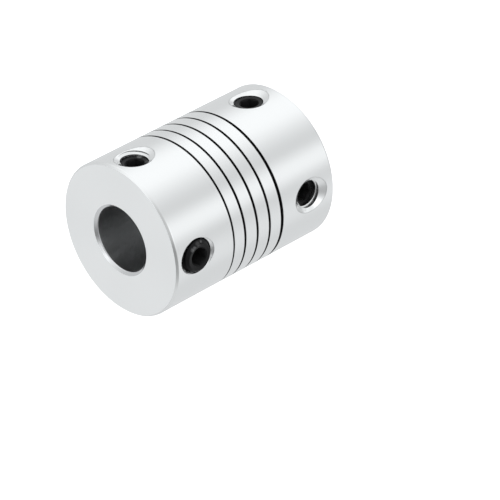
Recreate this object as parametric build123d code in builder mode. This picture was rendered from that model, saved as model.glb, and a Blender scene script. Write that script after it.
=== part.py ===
from build123d import *
import os

# Helical beam shaft coupling, millimetres.
# Frame: the coupling stands on its lower end face. Origin at the centre of that
# face, +Z along the bore axis, +X and -Y through the two set screws of each hub.

# ---- driving dimensions ----
OUTER_D = 19.0            # outside diameter
LENGTH = 25.0             # overall length
BORE_D = 8.0              # shaft bore
RIM_CHAMFER = 0.25        # 45 degree chamfer on both outer rims
BORE_CHAMFER = 0.40       # chamfer on both bore mouths: its width on the face
BORE_CHAMFER_DEPTH = 0.28 # and its depth along the bore

SLIT_PITCH = 1.944        # advance per turn, right-handed
SLIT_TURNS = 5.0
SLIT_START_ANGLE = 100.6  # angle of the slit's lower end, degrees from +X
# the slit's form along its length: turns from its lower end, shift of its
# centre line towards the lower end, width along the axis
SLIT_STATIONS = [
    (0.000, 0.050, 0.440),
    (0.440, 0.048, 0.440),
    (0.610, 0.040, 0.360),
    (0.720, 0.036, 0.330),
    (1.525, 0.000, 0.310),
    (2.525, 0.000, 0.312),
    (3.525, 0.000, 0.306),
    (4.450, 0.155, 0.228),
    (4.720, 0.173, 0.310),
    (5.000, 0.180, 0.310),
]

UPPER_SCREW_DISTANCE = 3.2   # hole axes from the upper end face
LOWER_SCREW_DISTANCE = 3.75  # hole axes from the lower end face
THREAD_D = 4.0            # M4 x 0.7
HOLE_R = 2.02             # tapped hole, at the thread's major diameter
COUNTERSINK_R = 2.52      # countersink, 120 degrees, at the outer surface
COUNTERSINK_ANGLE = 120
SCREW_R = 1.97            # screw at the thread's crests
SCREW_LENGTH = 4.0
SCREW_CHAMFER = 0.35      # top edge of the screw
CUP_R = 1.0               # edge of the cup point
CUP_DEPTH = 0.55
SOCKET_AF = 2.0           # hexagon across flats
SOCKET_DEPTH = 1.9
SOCKET_DRILL_DEPTH = 0.5  # conical floor below the hexagon
SOCKET_MOUTH_R = 1.18     # 45 degree chamfer at the socket's mouth

# distance of each screw's top face from the bore axis
SCREW_TOP = {
    "set_screw_upper_x": 8.65,
    "set_screw_upper_y": 9.80,
    "set_screw_lower_x": 8.93,
    "set_screw_lower_y": 8.23,
}
# turn of each socket about its screw's axis, degrees
SOCKET_TURN = {
    "set_screw_upper_x": -20,
    "set_screw_upper_y": -30,
    "set_screw_lower_x": -16,
    "set_screw_lower_y": -19,
}

OUTER_R = OUTER_D / 2
BORE_R = BORE_D / 2
UPPER_Z = LENGTH - UPPER_SCREW_DISTANCE
LOWER_Z = LOWER_SCREW_DISTANCE
SLIT_HEIGHT = SLIT_PITCH * SLIT_TURNS
SLIT_BOTTOM_Z = (LENGTH - SLIT_HEIGHT) / 2

os.makedirs("parts", exist_ok=True)


def screw_plane(name, radius):
    """A plane across the screw's hole, its normal pointing outward, at this distance from the bore axis."""
    z = UPPER_Z if "upper" in name else LOWER_Z
    if name.endswith("_x"):
        return Plane(origin=(radius, 0, z), x_dir=(0, 0, 1), z_dir=(1, 0, 0))
    return Plane(origin=(0, -radius, z), x_dir=(0, 0, 1), z_dir=(0, -1, 0))


# ---- the helical slit, as the solid that the saw takes away ----
# It is made with its ends on the XZ plane and turned into place when it is cut.
SLIT_MID_R = (BORE_R + OUTER_R) / 2
SLIT_DEPTH = OUTER_R - BORE_R + 1.6
with BuildPart() as slit_cutter:
    with BuildLine(Plane.XY.offset(SLIT_BOTTOM_Z)) as slit_path:
        Helix(pitch=SLIT_PITCH, height=SLIT_HEIGHT, radius=SLIT_MID_R)
    slit_edge = slit_path.line.edges()[0]
    for turns, shift, width in SLIT_STATIONS:
        station = slit_edge @ (turns / SLIT_TURNS)
        along = slit_edge % (turns / SLIT_TURNS)
        outward = Vector(station.X, station.Y, 0).normalized()
        # local x is radial, local y points down the axis
        with BuildSketch(Plane(origin=station, x_dir=outward, z_dir=along)):
            with Locations((0, shift)):
                Rectangle(SLIT_DEPTH, width)
    sweep(path=slit_path.line, multisection=True, is_frenet=True)

# ---- coupling body: two hubs and the helical beam between them, one piece ----
with BuildPart() as coupling_body:
    # turned blank with its bore
    with BuildSketch(Plane.XZ) as wall_section:
        with BuildLine():
            Polyline(
                (BORE_R, BORE_CHAMFER_DEPTH),
                (BORE_R + BORE_CHAMFER, 0),
                (OUTER_R - RIM_CHAMFER, 0),
                (OUTER_R, RIM_CHAMFER),
                (OUTER_R, LENGTH - RIM_CHAMFER),
                (OUTER_R - RIM_CHAMFER, LENGTH),
                (BORE_R + BORE_CHAMFER, LENGTH),
                (BORE_R, LENGTH - BORE_CHAMFER_DEPTH),
                close=True,
            )
        make_face()
    revolve(axis=Axis.Z)
    # tapped holes, two per hub at 90 degrees, each with a countersink
    for screw_name in SCREW_TOP:
        with Locations(screw_plane(screw_name, OUTER_R)):
            CounterSinkHole(
                radius=HOLE_R,
                counter_sink_radius=COUNTERSINK_R,
                depth=OUTER_R - BORE_R + 1.0,
                counter_sink_angle=COUNTERSINK_ANGLE,
            )
    # the slit, right through the wall
    add(slit_cutter.part, rotation=(0, 0, SLIT_START_ANGLE), mode=Mode.SUBTRACT)

coupling_body.part.label = "coupling_body"
export_step(coupling_body.part, "parts/coupling_body.step")

# ---- the four set screws: cup point, hexagon socket ----
for screw_name, top_r in SCREW_TOP.items():
    tip_plane = screw_plane(screw_name, top_r - SCREW_LENGTH)
    # section plane through the screw's axis: local x across the screw, local y outward
    section_plane = Plane(origin=tip_plane.origin, x_dir=tip_plane.x_dir, z_dir=tip_plane.x_dir.cross(tip_plane.z_dir))
    with BuildPart() as set_screw:
        with BuildSketch(section_plane) as screw_section:
            with BuildLine():
                Polyline(
                    (0, CUP_DEPTH),
                    (CUP_R, 0),
                    (SCREW_R, SCREW_R - CUP_R),
                    (SCREW_R, SCREW_LENGTH - SCREW_CHAMFER),
                    (SCREW_R - SCREW_CHAMFER, SCREW_LENGTH),
                    (0, SCREW_LENGTH),
                    close=True,
                )
            make_face()
        revolve(axis=Axis(tip_plane.origin, tip_plane.z_dir))
        # hexagon socket with a drilled conical floor
        with BuildSketch(screw_plane(screw_name, top_r)) as socket_section:
            RegularPolygon(radius=SOCKET_AF / 2, side_count=6, major_radius=False, rotation=SOCKET_TURN[screw_name])
        extrude(amount=-SOCKET_DEPTH, mode=Mode.SUBTRACT)
        with BuildSketch(section_plane) as drill_section:
            with BuildLine():
                floor = SCREW_LENGTH - SOCKET_DEPTH
                Polyline(
                    (0, floor - SOCKET_DRILL_DEPTH),
                    (SOCKET_AF / 2, floor),
                    (0, floor + 0.2),
                    close=True,
                )
            make_face()
        revolve(axis=Axis(tip_plane.origin, tip_plane.z_dir), mode=Mode.SUBTRACT)
        # chamfer that leads into the socket
        with BuildSketch(section_plane) as mouth_section:
            with BuildLine():
                Polyline(
                    (0, SCREW_LENGTH - SOCKET_MOUTH_R),
                    (SOCKET_MOUTH_R + 0.2, SCREW_LENGTH + 0.2),
                    (0, SCREW_LENGTH + 0.2),
                    close=True,
                )
            make_face()
        revolve(axis=Axis(tip_plane.origin, tip_plane.z_dir), mode=Mode.SUBTRACT)
    set_screw.part.label = screw_name
    export_step(set_screw.part, f"parts/{screw_name}.step")
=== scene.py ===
import math

import bpy
import numpy as np
from mathutils import Matrix, Vector


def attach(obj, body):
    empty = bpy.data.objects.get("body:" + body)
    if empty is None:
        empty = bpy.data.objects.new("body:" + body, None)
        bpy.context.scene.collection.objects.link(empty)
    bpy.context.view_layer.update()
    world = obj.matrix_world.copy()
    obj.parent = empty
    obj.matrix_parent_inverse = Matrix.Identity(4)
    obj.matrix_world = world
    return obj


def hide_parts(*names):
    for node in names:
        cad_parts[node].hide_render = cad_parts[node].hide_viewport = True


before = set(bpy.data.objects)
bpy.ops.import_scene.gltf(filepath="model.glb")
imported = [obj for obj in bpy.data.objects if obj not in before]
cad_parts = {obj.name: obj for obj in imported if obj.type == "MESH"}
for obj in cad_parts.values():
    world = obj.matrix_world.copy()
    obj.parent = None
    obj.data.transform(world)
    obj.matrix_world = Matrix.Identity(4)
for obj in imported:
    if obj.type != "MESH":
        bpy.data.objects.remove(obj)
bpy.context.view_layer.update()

MM = 0.001

# ---------------------------------------------------------------- dimensions, mm
OUTER_R = 9.5
LENGTH = 25.0
BORE_R = 4.0
RIM_CHAMFER = 0.25
BORE_CHAMFER = 0.40       # width of the chamfer at the bore's mouth
BORE_CHAMFER_DEPTH = 0.28

SLIT_PITCH = 1.944
SLIT_TURNS = 5.0
SLIT_START = 100.6
SLIT_BOTTOM = (LENGTH - SLIT_PITCH * SLIT_TURNS) / 2
SLIT_STATIONS = [
    (0.000, 0.050, 0.440),
    (0.440, 0.048, 0.440),
    (0.525, 0.044, 0.400),
    (0.610, 0.040, 0.360),
    (0.720, 0.036, 0.330),
    (1.525, 0.000, 0.310),
    (2.525, 0.000, 0.312),
    (3.525, 0.000, 0.306),
    (4.450, 0.155, 0.228),
    (4.610, 0.168, 0.280),
    (4.720, 0.173, 0.310),
    (5.000, 0.180, 0.310),
]
SLIT_BREAK = 0.035

UPPER_Z = LENGTH - 3.2
LOWER_Z = 3.75
COUNTERSINK_R = 2.52
COUNTERSINK_SLOPE = math.sqrt(3)   # radius per height of a 120 degree countersink
HOLE_BREAK = 0.035
THREAD_PITCH = 0.7
THREAD_MINOR = 1.66
SCREW_MAJOR = 1.965
SCREW_MINOR = 1.545
SCREW_LENGTH = 4.0
SCREW_CHAMFER = 0.35
SCREW_DISH = math.tan(math.radians(9))   # the end face slopes in to the socket
CUP_R = 1.0
CUP_DEPTH = 0.55
SOCKET_AF = 2.0
SOCKET_DEPTH = 1.9
SOCKET_DRILL = 0.5
SOCKET_MOUTH_R = 1.18
SCREWS = {
    # top face from the bore axis, body, thread phase, angle of one hexagon corner, root radius of the tapped thread
    "set_screw_upper_x": (8.65, "screw_upper_x", 0.100, 10.0, 2.005),
    "set_screw_upper_y": (9.80, "screw_upper_y", 0.300, 0.0, 2.005),
    "set_screw_lower_x": (8.93, "screw_lower_x", 0.440, 14.0, 2.005),
    "set_screw_lower_y": (8.23, "screw_lower_y", 0.532, 11.0, 2.005),
}

PROUD = "set_screw_upper_y"
MOUTH_R = 2.16

# face tags that the booleans carry along
T_TURNED, T_SLIT, T_BREAK, T_CONE, T_THREAD, T_FLAT = 1, 2, 3, 4, 5, 6
T_BLANK, T_SOCKET, T_FLOOR, T_EDGE, T_MOUTH = 7, 8, 9, 10, 11


# ---------------------------------------------------------------- mesh helpers
def make_object(name, verts, faces, tags):
    me = bpy.data.meshes.new(name)
    me.from_pydata([tuple(v) for v in verts], [], faces)
    attr = me.attributes.new("tag", "INT", "FACE")
    attr.data.foreach_set("value", np.asarray(tags, np.int32))
    me.update()
    o = bpy.data.objects.new(name, me)
    bpy.context.scene.collection.objects.link(o)
    return o


def grid_faces(rows, cols, wrap_cols):
    """Quads of a rows x cols grid of vertices, row-major, normals by the right-hand rule."""
    out = []
    last = cols if wrap_cols else cols - 1
    for i in range(rows - 1):
        for j in range(last):
            k = (j + 1) % cols
            out.append((i * cols + j, i * cols + k, (i + 1) * cols + k, (i + 1) * cols + j))
    return out


def revolve_solid(name, profile, segments, tag_of, phase=0.0):
    """Closed solid of revolution about Z from a closed (r, z) profile, anticlockwise in the r-z plane. Radii are above zero."""
    n = len(profile)
    ang = phase + np.arange(segments) * 2 * math.pi / segments
    verts = np.array([(r * math.cos(a), r * math.sin(a), z) for a in ang for r, z in profile])
    faces, tags = [], []
    for i in range(segments):
        i2 = (i + 1) % segments
        for j in range(n):
            k = (j + 1) % n
            faces.append((i * n + j, i2 * n + j, i2 * n + k, i * n + k))
            tags.append(tag_of(j))
    return make_object(name, verts, faces, tags)


def revolve_capped(name, profile, segments, tag_of, phase=0.0):
    """Closed solid about Z from an open (r, z) profile whose first and last points lie on the axis, from low to high."""
    ang = phase + np.arange(segments) * 2 * math.pi / segments
    inner = profile[1:-1]
    m = len(inner)
    verts = [(0.0, 0.0, profile[0][1])]
    for r, z in inner:
        verts += [(r * math.cos(a), r * math.sin(a), z) for a in ang]
    verts.append((0.0, 0.0, profile[-1][1]))
    faces, tags = [], []
    for i in range(segments):
        k = (i + 1) % segments
        faces.append((0, 1 + k, 1 + i))
        tags.append(tag_of(0))
        for j in range(m - 1):
            a, b = 1 + j * segments, 1 + (j + 1) * segments
            faces.append((a + i, a + k, b + k, b + i))
            tags.append(tag_of(j + 1))
        a = 1 + (m - 1) * segments
        faces.append((len(verts) - 1, a + i, a + k))
        tags.append(tag_of(m))
    return make_object(name, verts, faces, tags)


def boolean(target, cutter, operation):
    m = target.modifiers.new("cut", "BOOLEAN")
    m.operation = operation
    m.solver = "MANIFOLD"
    m.object = cutter
    dg = bpy.context.evaluated_depsgraph_get()
    me = bpy.data.meshes.new_from_object(target.evaluated_get(dg))
    target.modifiers.clear()
    old = target.data
    target.data = me
    me.name = target.name
    bpy.data.meshes.remove(old)
    used = cutter.data
    bpy.data.objects.remove(cutter)
    bpy.data.meshes.remove(used)


def face_tags(me):
    t = np.zeros(len(me.polygons), np.int32)
    me.attributes["tag"].data.foreach_get("value", t)
    return t


def round_corners(points, radii, steps=3):
    """Closed profile with its corners rounded. Returns points and the outward normal of an anticlockwise profile at each."""
    out, normals = [], []
    n = len(points)
    for i in range(n):
        p, a, b = (np.array(points[k], float) for k in (i, i - 1, (i + 1) % n))
        u, w = (a - p) / np.linalg.norm(a - p), (b - p) / np.linalg.norm(b - p)
        half = math.acos(max(-1.0, min(1.0, float(u @ w)))) / 2
        r = radii[i]
        reach = r / math.tan(half)
        n1 = np.array([-(p - a)[1], (p - a)[0]]) / np.linalg.norm(p - a) * -1.0
        n2 = np.array([-(b - p)[1], (b - p)[0]]) / np.linalg.norm(b - p) * -1.0
        c = p + (u + w) / np.linalg.norm(u + w) * (r / math.sin(half))
        for k in range(steps + 1):
            t = k / steps
            m = n1 * (1 - t) + n2 * t
            m /= np.linalg.norm(m)
            convex = float((c - p) @ n1) < 0
            out.append(c + m * r if convex else c - m * r)
            normals.append(m)
    return np.array(out), np.array(normals)


# ---------------------------------------------------------------- coupling body
PROFILE_POINTS = [
    (BORE_R, BORE_CHAMFER_DEPTH),
    (BORE_R + BORE_CHAMFER, 0),
    (OUTER_R - RIM_CHAMFER, 0),
    (OUTER_R, RIM_CHAMFER),
    (OUTER_R, LENGTH - RIM_CHAMFER),
    (OUTER_R - RIM_CHAMFER, LENGTH),
    (BORE_R + BORE_CHAMFER, LENGTH),
    (BORE_R, LENGTH - BORE_CHAMFER_DEPTH),
]
PROFILE, PROFILE_N = round_corners(PROFILE_POINTS, [0.25, 0.05, 0.05, 0.18, 0.18, 0.05, 0.05, 0.25], 5)

body = revolve_solid("coupling_body_turned", [tuple(p * MM) for p in PROFILE], 360, lambda j: T_TURNED)


def slit_centre(turns):
    """Height of the slit's centre line and its width at this many turns from its lower end, mm."""
    t = np.array([s[0] for s in SLIT_STATIONS])
    shift = np.interp(turns, t, [s[1] for s in SLIT_STATIONS])
    width = np.interp(turns, t, [s[2] for s in SLIT_STATIONS])
    return SLIT_BOTTOM + SLIT_PITCH * turns - shift, width


def slit_cutter():
    steps = int(SLIT_TURNS * 360)
    turns = np.arange(steps + 1) / 360.0
    centre, width = slit_centre(turns)
    ang = math.radians(SLIT_START) + turns * 2 * math.pi
    b = SLIT_BREAK
    # section: (radius, side, extra half width)
    section = [(3.3, -1, 0), (OUTER_R - b, -1, 0), (OUTER_R + b, -1, 2 * b), (OUTER_R + b, 1, 2 * b), (OUTER_R - b, 1, 0), (3.3, 1, 0)]
    tag = [T_SLIT, T_BREAK, T_FLAT, T_BREAK, T_SLIT, T_FLAT]
    n = len(section)
    verts = []
    for i in range(steps + 1):
        c, s = math.cos(ang[i]), math.sin(ang[i])
        for r, side, more in section:
            verts.append((r * c * MM, r * s * MM, (centre[i] + side * (width[i] / 2 + more)) * MM))
    faces, tags = [], []
    for i in range(steps):
        for j in range(n):
            k = (j + 1) % n
            faces.append((i * n + j, (i + 1) * n + j, (i + 1) * n + k, i * n + k))
            tags.append(tag[j])
    faces.append(tuple(range(n)))
    tags.append(T_SLIT)
    faces.append(tuple(reversed(range(steps * n, steps * n + n))))
    tags.append(T_SLIT)
    return make_object("slit_cutter", verts, faces, tags)


boolean(body, slit_cutter(), "DIFFERENCE")


def hole_frame(name):
    """Axis-aligned frame of a screw hole: columns are two directions across it and the outward axis."""
    if name.endswith("_x"):
        e = Vector((1, 0, 0))
    else:
        e = Vector((0, -1, 0))
    up = Vector((0, 0, 1))
    side = up.cross(e)
    z = UPPER_Z if "upper" in name else LOWER_Z
    m = Matrix((side, up, e)).transposed().to_4x4()
    m.translation = Vector((0, 0, z * MM))
    return m


def place(o, m):
    o.data.transform(m)
    o.data.update()


THREAD_STEPS = 96


def thread_solid(name, minor, major, low, high, phase):
    """A right-handed M4 thread about Z as a closed solid from low to high, mm: crests at major and minor with 60 degree flanks."""
    flank = (major - minor) / math.sqrt(3)
    outer_flat = THREAD_PITCH / 8
    inner_flat = THREAD_PITCH - 2 * flank - outer_flat
    # one pitch of the section: (height, radius), from the middle of the outer flat
    stops = [0, outer_flat / 2, outer_flat / 2 + flank / 2, outer_flat / 2 + flank, outer_flat / 2 + flank + inner_flat,
             outer_flat / 2 + flank * 1.5 + inner_flat, outer_flat / 2 + 2 * flank + inner_flat]
    radii = [major, major, (major + minor) / 2, minor, minor, (major + minor) / 2, major]
    k = len(stops)
    pitches = int(math.ceil((high - low) / THREAD_PITCH))
    cols = [(p * THREAD_PITCH + s, r) for p in range(pitches) for s, r in zip(stops, radii)]
    cols.append((pitches * THREAD_PITCH, major))
    m = len(cols)
    verts = []
    for i in range(THREAD_STEPS):
        a = 2 * math.pi * i / THREAD_STEPS
        for h, r in cols:
            verts.append((r * math.cos(a) * MM, r * math.sin(a) * MM, (low + phase + h + THREAD_PITCH * i / THREAD_STEPS) * MM))
    faces, tags = [], []
    for i in range(THREAD_STEPS):
        for j in range(m - 1):
            if i < THREAD_STEPS - 1:
                faces.append((i * m + j, (i + 1) * m + j, (i + 1) * m + j + 1, i * m + j + 1))
                tags.append(T_THREAD)
            elif j + k + 1 < m:
                faces.append((i * m + j, j + k, j + k + 1, i * m + j + 1))
                tags.append(T_THREAD)
    # end caps: fans from a point on the axis
    bottom = [i * m for i in range(THREAD_STEPS)] + list(range(k, 0, -1))
    top = [i * m + m - 1 for i in range(THREAD_STEPS)]
    last = (THREAD_STEPS - 1) * m
    top = [i * m + m - 1 for i in range(THREAD_STEPS)] + [last + j for j in range(m - 2, m - 2 - k, -1)]
    verts.append((0, 0, (low + phase + THREAD_PITCH / 2 - 0.5) * MM))
    b = len(verts) - 1
    verts.append((0, 0, (low + phase + (pitches + 0.5) * THREAD_PITCH + 0.5) * MM))
    t = len(verts) - 1
    for i in range(len(bottom)):
        faces.append((b, bottom[(i + 1) % len(bottom)], bottom[i]))
        tags.append(T_FLAT)
    for i in range(len(top)):
        faces.append((t, top[i], top[(i + 1) % len(top)]))
        tags.append(T_FLAT)
    return make_object(name, verts, faces, tags)


def thread_low(phase, low):
    """Start height so that the hole's thread and its screw's share one phase."""
    return phase + math.floor((low - phase) / THREAD_PITCH) * THREAD_PITCH


def edge_cutter():
    """Closed prism along the curve where a countersink meets the outside: it takes off the sharp edge."""
    verts, faces = [], []
    steps = 240
    d = HOLE_BREAK
    for i in range(steps):
        a = 2 * math.pi * i / steps
        r = COUNTERSINK_R
        for _ in range(12):
            drop = OUTER_R - math.sqrt(OUTER_R ** 2 - (r * math.cos(a)) ** 2)
            r = COUNTERSINK_R - drop * COUNTERSINK_SLOPE
        rho = Vector((math.cos(a), math.sin(a), 0))
        h = OUTER_R - drop
        p = rho * r + Vector((0, 0, h))
        skin = Vector((p.x, 0, p.z)).normalized()
        cone = (Vector((0, 0, COUNTERSINK_SLOPE)) - rho).normalized()
        out = (skin + cone).normalized()
        along = skin.cross(cone).normalized()
        across = along.cross(out)
        low = p - out * d * 0.35
        for q in (low - across * d * 4, low + across * d * 4, p + out * d * 4):
            verts.append(q * MM)
    for i in range(steps):
        k = (i + 1) % steps
        for j in range(3):
            j2 = (j + 1) % 3
            faces.append((i * 3 + j, k * 3 + j, k * 3 + j2, i * 3 + j2))
    o = make_object("edge_cutter", verts, faces, [T_EDGE] * len(faces))
    vol = sum(Vector(verts[f[0]]).dot((Vector(verts[f[1]]) - Vector(verts[f[0]])).cross(Vector(verts[f[2]]) - Vector(verts[f[0]]))) for f in faces)
    if vol < 0:
        o.data.flip_normals()
    return o


cone_low = OUTER_R - COUNTERSINK_R / COUNTERSINK_SLOPE
for name, (top, rides, phase, corner, root) in SCREWS.items():
    low = thread_low(phase, 2.2)
    cutter = thread_solid("thread_cutter", THREAD_MINOR, root, low, 10.8, 0.0)
    place(cutter, hole_frame(name))
    boolean(body, cutter, "DIFFERENCE")
    if name == PROUD:
        # the mouth of this hole is opened out a little round the screw that stands proud
        mouth = revolve_capped(
            "mouth_cutter", [(0, 8.7 * MM), (1.9 * MM, 8.7 * MM), (MOUTH_R * MM, 8.9 * MM), (MOUTH_R * MM, 10.2 * MM), (0, 10.2 * MM)], 180, lambda j: T_THREAD)
        place(mouth, hole_frame(name))
        boolean(body, mouth, "DIFFERENCE")
    cone = revolve_capped(
        "cone_cutter",
        [(0, cone_low * MM), (1e-6, (cone_low + 1e-3) * MM), ((COUNTERSINK_R + 0.5 * COUNTERSINK_SLOPE) * MM, (OUTER_R + 0.5) * MM), (0, (OUTER_R + 0.5) * MM)],
        180, lambda j: T_CONE if j < 2 else T_FLAT)
    place(cone, hole_frame(name))
    boolean(body, cone, "DIFFERENCE")
    edge = edge_cutter()
    place(edge, hole_frame(name))
    boolean(body, edge, "DIFFERENCE")

print("body faces", len(body.data.polygons), "verts", len(body.data.vertices))


# ---------------------------------------------------------------- screws
def hexagon_cutter(top, corner):
    """Hexagon socket with a drilled conical floor, about Z, mm, one corner at this angle."""
    r = SOCKET_AF / math.sqrt(3)
    verts, faces, tags = [], [], []
    for z in (top - SOCKET_DEPTH, top + 1.0):
        for i in range(6):
            a = math.radians(corner + 60 * i)
            verts.append((r * math.cos(a) * MM, r * math.sin(a) * MM, z * MM))
    verts.append((0, 0, (top - SOCKET_DEPTH - SOCKET_DRILL) * MM))
    for i in range(6):
        k = (i + 1) % 6
        faces.append((i, k, 6 + k, 6 + i))
        tags.append(T_SOCKET)
        faces.append((12, k, i))
        tags.append(T_FLOOR)
    faces.append(tuple(range(6, 12)))
    tags.append(T_FLAT)
    return make_object("hexagon", verts, faces, tags)


screws = {}
for name, (top, rides, phase, corner, root) in SCREWS.items():
    low = thread_low(phase, top - SCREW_LENGTH - 1.5)
    o = thread_solid(name + "_turned", SCREW_MINOR, SCREW_MAJOR, low, top + 1.5, 0.0)
    tip = top - SCREW_LENGTH
    r = SCREW_MAJOR + 0.001
    e = 0.03
    edge = r - SCREW_CHAMFER
    crest = edge - 0.07
    blank = [
        (0, tip + CUP_DEPTH), (CUP_R - 0.05, tip + 0.03), (CUP_R, tip), (CUP_R + 0.05, tip + 0.03), (r, tip + r - CUP_R),
        (r, top - SCREW_CHAMFER), (edge + e, top - e), (edge, top - e * 0.3), (edge - e, top), (crest, top - 0.003), (0, top - 0.003 - crest * SCREW_DISH)]
    cutter = revolve_capped("blank", [(a * MM, b * MM) for a, b in blank], 96, lambda j: T_BLANK)
    boolean(o, cutter, "INTERSECT")
    boolean(o, hexagon_cutter(top, corner), "DIFFERENCE")
    lip = top - (crest - SOCKET_MOUTH_R) * SCREW_DISH
    mouth = revolve_capped(
        "socket_mouth", [(0, (lip - SOCKET_MOUTH_R) * MM), ((SOCKET_MOUTH_R + 0.3) * MM, (lip + 0.3) * MM), (0, (lip + 0.3) * MM)], 96, lambda j: T_MOUTH)
    boolean(o, mouth, "DIFFERENCE")
    place(o, hole_frame(name))
    screws[name] = o
    print(name, "faces", len(o.data.polygons))


# ---------------------------------------------------------------- smooth shading
def profile_normal(r, z):
    """Outward normal of the turned surface at (r, z) mm, from the nearest profile segment."""
    a = PROFILE
    b = np.roll(PROFILE, -1, 0)
    na, nb = PROFILE_N, np.roll(PROFILE_N, -1, 0)
    d = b - a
    p = np.stack([r, z], 1)
    best = np.full(len(p), 1e9)
    out = np.zeros((len(p), 2))
    for i in range(len(a)):
        L2 = float(d[i] @ d[i])
        if L2 < 1e-12:
            continue
        t = np.clip(((p - a[i]) @ d[i]) / L2, 0, 1)
        q = a[i] + t[:, None] * d[i]
        dist = np.linalg.norm(p - q, axis=1)
        m = dist < best
        best[m] = dist[m]
        nn = na[i] * (1 - t)[:, None] + nb[i] * t[:, None]
        out[m] = nn[m]
    return out / np.linalg.norm(out, axis=1)[:, None]


def loop_data(me):
    nl = len(me.loops)
    vi = np.zeros(nl, np.int32)
    me.loops.foreach_get("vertex_index", vi)
    co = np.zeros(len(me.vertices) * 3, np.float32)
    me.vertices.foreach_get("co", co)
    start = np.zeros(len(me.polygons), np.int32)
    total = np.zeros(len(me.polygons), np.int32)
    me.polygons.foreach_get("loop_start", start)
    me.polygons.foreach_get("loop_total", total)
    pi = np.repeat(np.arange(len(me.polygons)), total)
    fn = np.zeros(len(me.polygons) * 3, np.float32)
    me.polygons.foreach_get("normal", fn)
    return vi, co.reshape(-1, 3).astype(float), pi, fn.reshape(-1, 3).astype(float)


def averaged(vi, pi, fn, mask, angle):
    """Corner normals for the masked corners: the mean of the neighbouring masked faces within the angle."""
    out = fn[pi].copy()
    idx = np.nonzero(mask)[0]
    order = idx[np.argsort(vi[idx], kind="stable")]
    limit = math.cos(math.radians(angle))
    s = 0
    while s < len(order):
        e = s
        while e < len(order) and vi[order[e]] == vi[order[s]]:
            e += 1
        group = order[s:e]
        n = fn[pi[group]]
        close = (n @ n.T) > limit
        out[group] = close @ n
        s = e
    out /= np.maximum(np.linalg.norm(out, axis=1), 1e-12)[:, None]
    return out


def shade_body(o):
    me = o.data
    vi, co, pi, fn = loop_data(me)
    tags = face_tags(me)[pi]
    p = co[vi] / MM
    r = np.hypot(p[:, 0], p[:, 1])
    radial = np.stack([p[:, 0] / r, p[:, 1] / r, np.zeros(len(r))], 1)
    around = np.stack([-radial[:, 1], radial[:, 0], np.zeros(len(r))], 1)
    n = fn[pi].copy()
    m = tags == T_TURNED
    pn = profile_normal(r[m], p[m, 2])
    n[m] = radial[m] * pn[:, :1] + np.array([0, 0, 1.0]) * pn[:, 1:]
    # helicoid walls
    m = tags == T_SLIT
    slope = SLIT_PITCH / (2 * math.pi) / r[m]
    h = -around[m] * slope[:, None] + np.array([0, 0, 1.0])
    h /= np.linalg.norm(h, axis=1)[:, None]
    side = np.sign((h * fn[pi][m]).sum(1))
    level = np.abs((h * fn[pi][m]).sum(1)) > 0.7
    h = h * side[:, None]
    n[m] = np.where(level[:, None], h, n[m])
    # edge breaks: half way between the wall and the outside
    m = tags == T_BREAK
    slope = SLIT_PITCH / (2 * math.pi) / r[m]
    h = -around[m] * slope[:, None] + np.array([0, 0, 1.0])
    h /= np.linalg.norm(h, axis=1)[:, None]
    h = h * np.sign(fn[pi][m][:, 2])[:, None]
    t = np.clip((r[m] - (OUTER_R - SLIT_BREAK)) / SLIT_BREAK, 0, 1)[:, None]
    w = 0.25 + 0.5 * t
    h = h * (1 - w) + radial[m] * w
    n[m] = h / np.linalg.norm(h, axis=1)[:, None]
    # countersinks
    m = tags == T_CONE
    q = p[m]
    best = np.full(len(q), 1e9)
    res = np.zeros((len(q), 3))
    for name in SCREWS:
        f = np.array(hole_frame(name))
        e = f[:3, 2]
        c = f[:3, 3] / MM
        rel = q - c
        along = rel @ e
        across = rel - along[:, None] * e
        dist = np.linalg.norm(across, axis=1)
        off = np.abs(dist - (along - cone_low) * COUNTERSINK_SLOPE)
        k = (off < best) & (along > 0)
        best[k] = off[k]
        cn = (-across / np.maximum(dist, 1e-9)[:, None] + e * COUNTERSINK_SLOPE) / math.sqrt(1 + COUNTERSINK_SLOPE ** 2)
        res[k] = cn[k]
    n[m] = res
    for group, angle in ((T_THREAD, 28), (T_EDGE, 30)):
        m = tags == group
        av = averaged(vi, pi, fn, m, angle)
        n[m] = av[m]
    me.polygons.foreach_set("use_smooth", np.ones(len(me.polygons), bool))
    me.normals_split_custom_set(n.tolist())


def shade_screw(o):
    me = o.data
    vi, co, pi, fn = loop_data(me)
    tags = face_tags(me)[pi]
    n = fn[pi].copy()
    for group, angle in (((T_THREAD,), 28), ((T_BLANK,), 24), ((T_MOUTH,), 20)):
        m = np.isin(tags, group)
        av = averaged(vi, pi, fn, m, angle)
        n[m] = av[m]
    me.polygons.foreach_set("use_smooth", np.ones(len(me.polygons), bool))
    me.normals_split_custom_set(n.tolist())


shade_body(body)
for o in screws.values():
    shade_screw(o)


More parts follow.
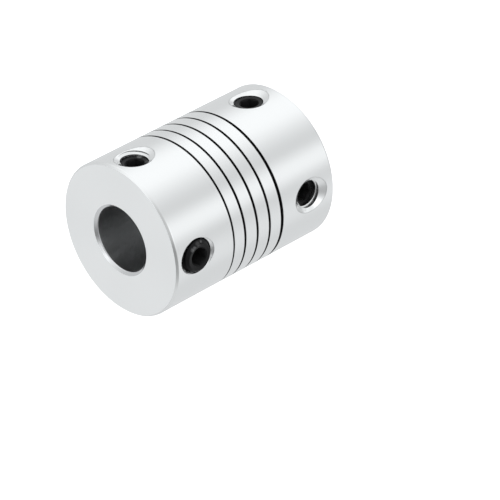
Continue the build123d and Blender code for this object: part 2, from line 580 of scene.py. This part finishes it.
# ---------------------------------------------------------------- node helpers
class Nodes:
    def __init__(self, tree):
        self.t = tree
        self.n = tree.nodes
        self.n.clear()

    def new(self, kind, **props):
        node = self.n.new(kind)
        for k, v in props.items():
            setattr(node, k, v)
        return node

    def link(self, a, b):
        self.t.links.new(a, b)

    def math(self, op, a, b=None, c=None):
        node = self.new("ShaderNodeMath", operation=op)
        for i, x in enumerate((a, b, c)):
            if x is None:
                continue
            if isinstance(x, (int, float)):
                node.inputs[i].default_value = x
            else:
                self.link(x, node.inputs[i])
        return node.outputs[0]

    def smooth(self, x, lo, hi, out_lo, out_hi):
        node = self.new("ShaderNodeMapRange", interpolation_type="SMOOTHSTEP")
        self.link(x, node.inputs[0])
        for i, v in enumerate((lo, hi, out_lo, out_hi)):
            node.inputs[i + 1].default_value = v
        return node.outputs[0]

    def noise(self, vector, scale, detail=2.0, rough=0.5):
        node = self.new("ShaderNodeTexNoise")
        self.link(vector, node.inputs["Vector"])
        node.inputs["Scale"].default_value = scale
        node.inputs["Detail"].default_value = detail
        node.inputs["Roughness"].default_value = rough
        return node.outputs[0]

    def mix(self, fac, a, b):
        node = self.new("ShaderNodeMix", data_type="RGBA")
        for i, x in ((0, fac), (6, a), (7, b)):
            if isinstance(x, (int, float)):
                node.inputs[i].default_value = x
            elif isinstance(x, tuple):
                node.inputs[i].default_value = x
            else:
                self.link(x, node.inputs[i])
        return node.outputs[2]


def material(name):
    m = bpy.data.materials.new(name)
    m.use_nodes = True
    k = Nodes(m.node_tree)
    out = k.new("ShaderNodeOutputMaterial")
    sh = k.new("ShaderNodeBsdfPrincipled")
    k.link(sh.outputs[0], out.inputs[0])
    return m, k, sh


def turned_metal(name, color, dark, rough, rings, bump, metallic=1.0, drawn=0.0):
    """Machined aluminium: fine tool marks along the given coordinate, a little tone variation."""
    m, k, sh = material(name)
    tc = k.new("ShaderNodeTexCoord")
    sep = k.new("ShaderNodeSeparateXYZ")
    k.link(tc.outputs["Object"], sep.inputs[0])
    x, y, z = sep.outputs
    r = k.math("SQRT", k.math("ADD", k.math("MULTIPLY", x, x), k.math("MULTIPLY", y, y)))
    # the tool marks run round the axis: their pattern depends on height or on radius only
    along = {"z": z, "r": r}[rings]
    vec = k.new("ShaderNodeCombineXYZ")
    k.link(k.math("MULTIPLY", along, 1000.0), vec.inputs[0])
    fine = k.noise(vec.outputs[0], 14.0, 3.0, 0.6)
    coarse = k.noise(vec.outputs[0], 1.1, 2.0, 0.5)
    cloud = k.noise(tc.outputs["Object"], 350.0, 2.0, 0.5)
    tone = k.math("ADD", k.math("MULTIPLY", fine, 0.35), k.math("ADD", k.math("MULTIPLY", coarse, 0.35), k.math("MULTIPLY", cloud, 0.3)))
    k.link(k.mix(tone, tuple(dark) + (1,), tuple(color) + (1,)), sh.inputs["Base Color"])
    sh.inputs["Metallic"].default_value = metallic
    k.link(k.smooth(tone, 0.2, 0.8, rough * 0.85, rough * 1.15), sh.inputs["Roughness"])
    b = k.new("ShaderNodeBump")
    b.inputs["Strength"].default_value = bump
    b.inputs["Distance"].default_value = 0.00001
    k.link(fine, b.inputs["Height"])
    k.link(b.outputs[0], sh.inputs["Normal"])
    if drawn:
        # the highlight spreads across the tool marks
        tan = k.new("ShaderNodeTangent", direction_type="RADIAL", axis="Z")
        k.link(tan.outputs[0], sh.inputs["Tangent"])
        sh.inputs["Anisotropic"].default_value = drawn
        sh.inputs["Anisotropic Rotation"].default_value = 0.25
    return m, k, sh


def dark_metal(name, color, light, rough, bump, metallic, scale):
    m, k, sh = material(name)
    tc = k.new("ShaderNodeTexCoord")
    a = k.noise(tc.outputs["Object"], scale, 4.0, 0.6)
    c = k.noise(tc.outputs["Object"], scale * 0.18, 2.0, 0.5)
    t = k.math("MULTIPLY", k.math("ADD", a, c), 0.5)
    k.link(k.mix(t, tuple(color) + (1,), tuple(light) + (1,)), sh.inputs["Base Color"])
    sh.inputs["Metallic"].default_value = metallic
    k.link(k.smooth(t, 0.2, 0.8, rough * 0.8, rough * 1.2), sh.inputs["Roughness"])
    b = k.new("ShaderNodeBump")
    b.inputs["Strength"].default_value = bump
    b.inputs["Distance"].default_value = 0.00001
    k.link(a, b.inputs["Height"])
    k.link(b.outputs[0], sh.inputs["Normal"])
    return m, k, sh


side_mat = turned_metal("aluminium_side", (0.91, 0.915, 0.915), (0.88, 0.885, 0.885), 0.16, "z", 0.12, drawn=0.3)[0]
end_mat = turned_metal("aluminium_end", (0.91, 0.915, 0.915), (0.88, 0.885, 0.885), 0.30, "r", 0.12, drawn=0.7)[0]
chamfer_mat = turned_metal("aluminium_chamfer", (0.91, 0.915, 0.915), (0.88, 0.885, 0.885), 0.16, "z", 0.08)[0]
# painted shade: the bore wall and the chamfer at its mouth are the same aluminium as the outside, given a darker base
# colour for the shade inside the bore
bore_mouth_painted_shade_mat = turned_metal("bore_chamfer", (0.76, 0.765, 0.77), (0.68, 0.685, 0.69), 0.16, "z", 0.08)[0]
bore_painted_shade_mat = dark_metal("bore_wall_painted_shade", (0.61, 0.615, 0.62), (0.67, 0.675, 0.68), 0.33, 0.3, 1.0, 900.0)[0]
# painted shade: the slit walls are the body's aluminium, coloured near-black for the shade deep in the narrow slits
slit_painted_shade_mat = dark_metal("slit_wall_painted_shade", (0.004, 0.004, 0.004), (0.012, 0.012, 0.012), 0.6, 0.3, 0.0, 1500.0)[0]
sink_mat, kc, sh_sink = turned_metal("countersink", (0.91, 0.915, 0.915), (0.86, 0.865, 0.865), 0.18, "r", 0.0)
thread_mat = turned_metal("tapped_thread", (0.86, 0.865, 0.865), (0.75, 0.755, 0.755), 0.25, "r", 0.0)[0]
black_mat, kb, sh_black = dark_metal("black_oxide_top", (0.002, 0.002, 0.0023), (0.007, 0.007, 0.0077), 0.24, 0.6, 0.0, 2500.0)
sh_black.inputs["Specular IOR Level"].default_value = 0.17
dull_mat, kd, sh_dull = dark_metal("black_oxide_thread", (0.004, 0.004, 0.0045), (0.009, 0.009, 0.0095), 0.45, 0.25, 0.0, 2500.0)
sh_dull.inputs["Specular IOR Level"].default_value = 0.10
socket_mat, ks, sh_socket = dark_metal("black_oxide_socket", (0.014, 0.014, 0.0145), (0.020, 0.020, 0.0205), 0.5, 0.25, 0.0, 2500.0)
sh_socket.inputs["Specular IOR Level"].default_value = 0.10


def paint_spots(k, sh, spots, color):
    """Mixes the base colour towards the given colour round these spots, as painted highlights and painted shade: x, y,
    z, then out to where the colour is full and where it has faded away, mm, and how much shows.
    """
    tc = k.new("ShaderNodeTexCoord")
    grain = k.noise(tc.outputs["Object"], 6000.0, 2.0, 0.6)
    spot_mask = None
    for x, y, z, inner, outer, much in spots:
        far = k.new("ShaderNodeVectorMath", operation="DISTANCE")
        k.link(tc.outputs["Object"], far.inputs[0])
        far.inputs[1].default_value = (x * MM, y * MM, z * MM)
        near = k.smooth(far.outputs["Value"], inner * MM, outer * MM, much, 0.0)
        spot_mask = near if spot_mask is None else k.math("MAXIMUM", spot_mask, near)
    plain = sh.inputs["Base Color"].links[0].from_socket
    part = k.math("MULTIPLY", spot_mask, k.smooth(grain, 0.3, 0.7, 0.5, 1.0))
    k.link(k.mix(part, plain, color + (1,)), sh.inputs["Base Color"])


# painted highlights: the screws' black oxide is lighter grey round these spots, standing in for glints on their tops
# and chamfers
PAINTED_HIGHLIGHTS = [
    (1.29, -9.80, 22.72, 0.05, 0.35, 1.0),
    (1.44, -9.80, 22.41, 0.05, 0.30, 1.0),
    (1.71, -9.60, 21.18, 0.05, 0.28, 0.9),
    (1.69, -9.72, 21.80, 0.05, 0.45, 0.45),
    (8.65, 0.68, 20.41, 0.10, 0.42, 1.6),
    (8.65, -0.78, 20.56, 0.10, 0.45, 0.35),
]
paint_spots(kb, sh_black, PAINTED_HIGHLIGHTS, (0.13, 0.13, 0.132))
paint_spots(kd, sh_dull, PAINTED_HIGHLIGHTS, (0.13, 0.13, 0.132))
# painted shade: the countersink beside the screw that stands proud is darkened round these spots
PAINTED_SHADE = [(-0.35, -9.40, 19.45, 0.15, 0.75, 0.62), (-1.30, -9.35, 19.85, 0.05, 0.60, 0.45)]
paint_spots(kc, sh_sink, PAINTED_SHADE, (0.20, 0.20, 0.20))


# ---------------------------------------------------------------- material of each face
def dress_body(o):
    me = o.data
    tags = face_tags(me)
    n = len(me.polygons)
    ctr = np.zeros(n * 3, np.float32)
    me.polygons.foreach_get("center", ctr)
    ctr = ctr.reshape(-1, 3) / MM
    r = np.hypot(ctr[:, 0], ctr[:, 1])
    z = ctr[:, 2]
    mats = [side_mat, end_mat, chamfer_mat, bore_painted_shade_mat, slit_painted_shade_mat, sink_mat, thread_mat, bore_mouth_painted_shade_mat]
    idx = np.zeros(n, np.int32)
    turned = tags == T_TURNED
    end = turned & ((z > LENGTH - 0.004) | (z < 0.004))
    rim = turned & (r > OUTER_R - RIM_CHAMFER - 0.06) & ~end & ((z > LENGTH - RIM_CHAMFER - 0.03) | (z < RIM_CHAMFER + 0.03))
    bore = turned & (r < BORE_R + 0.05)
    mouth = turned & (r >= BORE_R + 0.05) & (r < BORE_R + BORE_CHAMFER + 0.06) & ~end
    idx[end] = 1
    idx[rim] = 2
    idx[mouth] = 7
    idx[bore] = 3
    idx[tags == T_SLIT] = 4
    idx[tags == T_BREAK] = 2
    idx[tags == T_CONE] = 5
    idx[tags == T_EDGE] = 2
    idx[tags == T_THREAD] = 6
    me.materials.clear()
    for m in mats:
        me.materials.append(m)
    me.polygons.foreach_set("material_index", idx)
    me.update()


def dress_screw(name, o):
    """The flat top is smoother than the thread, the chamfer and the socket."""
    me = o.data
    n = len(me.polygons)
    e = np.array(hole_frame(name))[:3, 2]
    fn = np.zeros(n * 3, np.float32)
    me.polygons.foreach_get("normal", fn)
    flat = (face_tags(me) == T_BLANK) & (fn.reshape(-1, 3) @ e > 0.93)
    me.materials.clear()
    me.materials.append(black_mat)
    me.materials.append(dull_mat)
    me.materials.append(socket_mat)
    tags = face_tags(me)
    inside = (tags == T_SOCKET) | (tags == T_FLOOR)
    me.polygons.foreach_set("material_index", np.where(flat, 0, np.where(inside, 2, 1)).astype(np.int32))
    me.update()


dress_body(body)
for name, o in screws.items():
    dress_screw(name, o)

for o in [body] + list(screws.values()):
    a = o.data.attributes.get("tag")
    if a is not None:
        o.data.attributes.remove(a)

for name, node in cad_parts.items():
    node.data.materials.clear()
    node.data.materials.append(side_mat if name == "coupling_body" else black_mat)

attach(body, "body")
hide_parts("coupling_body")
for name, (top, rides, phase, corner, root) in SCREWS.items():
    o = screws[name]
    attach(o, rides)
    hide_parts(name)

# ---------------------------------------------------------------- floor
floor_me = bpy.data.meshes.new("floor")
s = 4.0
floor_me.from_pydata([(-s, -s, 0), (s, -s, 0), (s, s, 0), (-s, s, 0)], [], [(0, 1, 2, 3)])
floor = bpy.data.objects.new("floor", floor_me)
bpy.context.scene.collection.objects.link(floor)
fm, k, sh = material("floor_white")
sh.inputs["Base Color"].default_value = (0.9, 0.9, 0.9, 1)
sh.inputs["Roughness"].default_value = 0.9
sh.inputs["Specular IOR Level"].default_value = 0.0
sh.inputs["Emission Color"].default_value = (1, 1, 1, 1)
sh.inputs["Emission Strength"].default_value = 0.80
floor_me.materials.append(fm)
floor.visible_glossy = False
floor.visible_shadow = False

# ---------------------------------------------------------------- studio light
world = bpy.data.worlds.new("studio")
bpy.context.scene.world = world
world.use_nodes = True
k = Nodes(world.node_tree)
out = k.new("ShaderNodeOutputWorld")
tc = k.new("ShaderNodeTexCoord")
sep = k.new("ShaderNodeSeparateXYZ")
k.link(tc.outputs["Generated"], sep.inputs[0])
dx, dy, dz = sep.outputs


def lobe(az, width, edge):
    """1 towards azimuth az (degrees from +X), falling smoothly to 0 from width to width + edge degrees off it, at any height."""
    a = math.radians(az)
    flat = k.math("SQRT", k.math("ADD", k.math("MULTIPLY", dx, dx), k.math("MULTIPLY", dy, dy)))
    dot = k.math("ADD", k.math("MULTIPLY", dx, math.cos(a)), k.math("MULTIPLY", dy, math.sin(a)))
    cosine = k.math("DIVIDE", dot, k.math("MAXIMUM", flat, 1e-5))
    angle = k.math("ARCCOSINE", k.math("MINIMUM", k.math("MAXIMUM", cosine, -1.0), 1.0))
    return k.smooth(angle, math.radians(width), math.radians(width + edge), 1.0, 0.0)


low = k.smooth(dz, -0.25, 0.25, 1.0, 0.0)      # below the horizon
high = k.math("MULTIPLY", k.smooth(dz, 0.58, 0.80, 0.0, 1.0), lobe(-90, 60, 50))   # well above it, on the near side
mid = k.smooth(dz, 0.02, 0.40, 0.0, 1.0)
main = k.math("MULTIPLY", lobe(11, 8, 52), 0.35)
# the second softbox ends a little above the horizon and is brightest there
second = k.math("MULTIPLY", lobe(-76, 2, 26), k.smooth(dz, 0.05, 0.35, 1.0, 0.0))
second = k.math("MULTIPLY", second, k.smooth(dz, -0.50, -0.10, 0.27, 0.60))
third = k.math("MULTIPLY", k.math("MULTIPLY", lobe(-135, 4, 28), 0.09), low)
shade = k.math("MULTIPLY", k.math("MULTIPLY", lobe(-124, 12, 30), -0.31), k.smooth(dz, 0.10, 0.30, 0.0, 1.0))
rear = k.math("MULTIPLY", k.math("MULTIPLY", lobe(132, 8, 30), 0.12), mid)
overhead = k.smooth(dz, 0.90, 0.97, 0.0, 0.45)
# below and behind, the part stands in its own shadow
under = k.math("MULTIPLY", k.smooth(dz, -0.86, -0.64, -0.50, 0.0), lobe(128, 14, 22))
deep = k.smooth(dz, -0.98, -0.90, -0.19, 0.0)
base = k.math("ADD", k.math("ADD", k.math("MULTIPLY", high, -0.13), k.math("MINIMUM", under, deep)), 0.725)
total = k.math("ADD", k.math("ADD", k.math("ADD", base, main), k.math("ADD", second, k.math("ADD", third, shade))), k.math("ADD", rear, overhead))
comb = k.new("ShaderNodeCombineColor")
for i, tint in enumerate((0.983, 1.002, 1.012)):
    k.link(k.math("MULTIPLY", total, tint), comb.inputs[i])
bg = k.new("ShaderNodeBackground")
k.link(comb.outputs[0], bg.inputs[0])
white = k.new("ShaderNodeBackground")
white.inputs[0].default_value = (1, 1, 1, 1)
white.inputs[1].default_value = 1.0
lp = k.new("ShaderNodeLightPath")
mixs = k.new("ShaderNodeMixShader")
k.link(lp.outputs["Is Camera Ray"], mixs.inputs[0])
k.link(bg.outputs[0], mixs.inputs[1])
k.link(white.outputs[0], mixs.inputs[2])
k.link(mixs.outputs[0], out.inputs[0])

scene = bpy.context.scene
scene.view_settings.view_transform = "Standard"
scene.view_settings.look = "None"

# ---------------------------------------------------------------- camera
cam_data = bpy.data.cameras.new("camera")
cam = bpy.data.objects.new("camera", cam_data)
scene.collection.objects.link(cam)
cam_data.sensor_width = 36.0
cam_data.lens = 256.7043
cam_data.shift_x = -0.001
cam_data.shift_y = 0.001
cam_data.clip_start = 0.05
cam_data.clip_end = 20.0
right = Vector((-0.06237892, -0.69653167, -0.71480941))
up = Vector((0.86624855, 0.31793336, -0.38539826))
back = Vector((0.49570385, -0.64324335, 0.58353721))
m = Matrix((right, up, back)).transposed().to_4x4()
m.translation = Vector((198.35377, -270.54172, 250.60938)) * MM
cam.matrix_world = m
scene.camera = cam
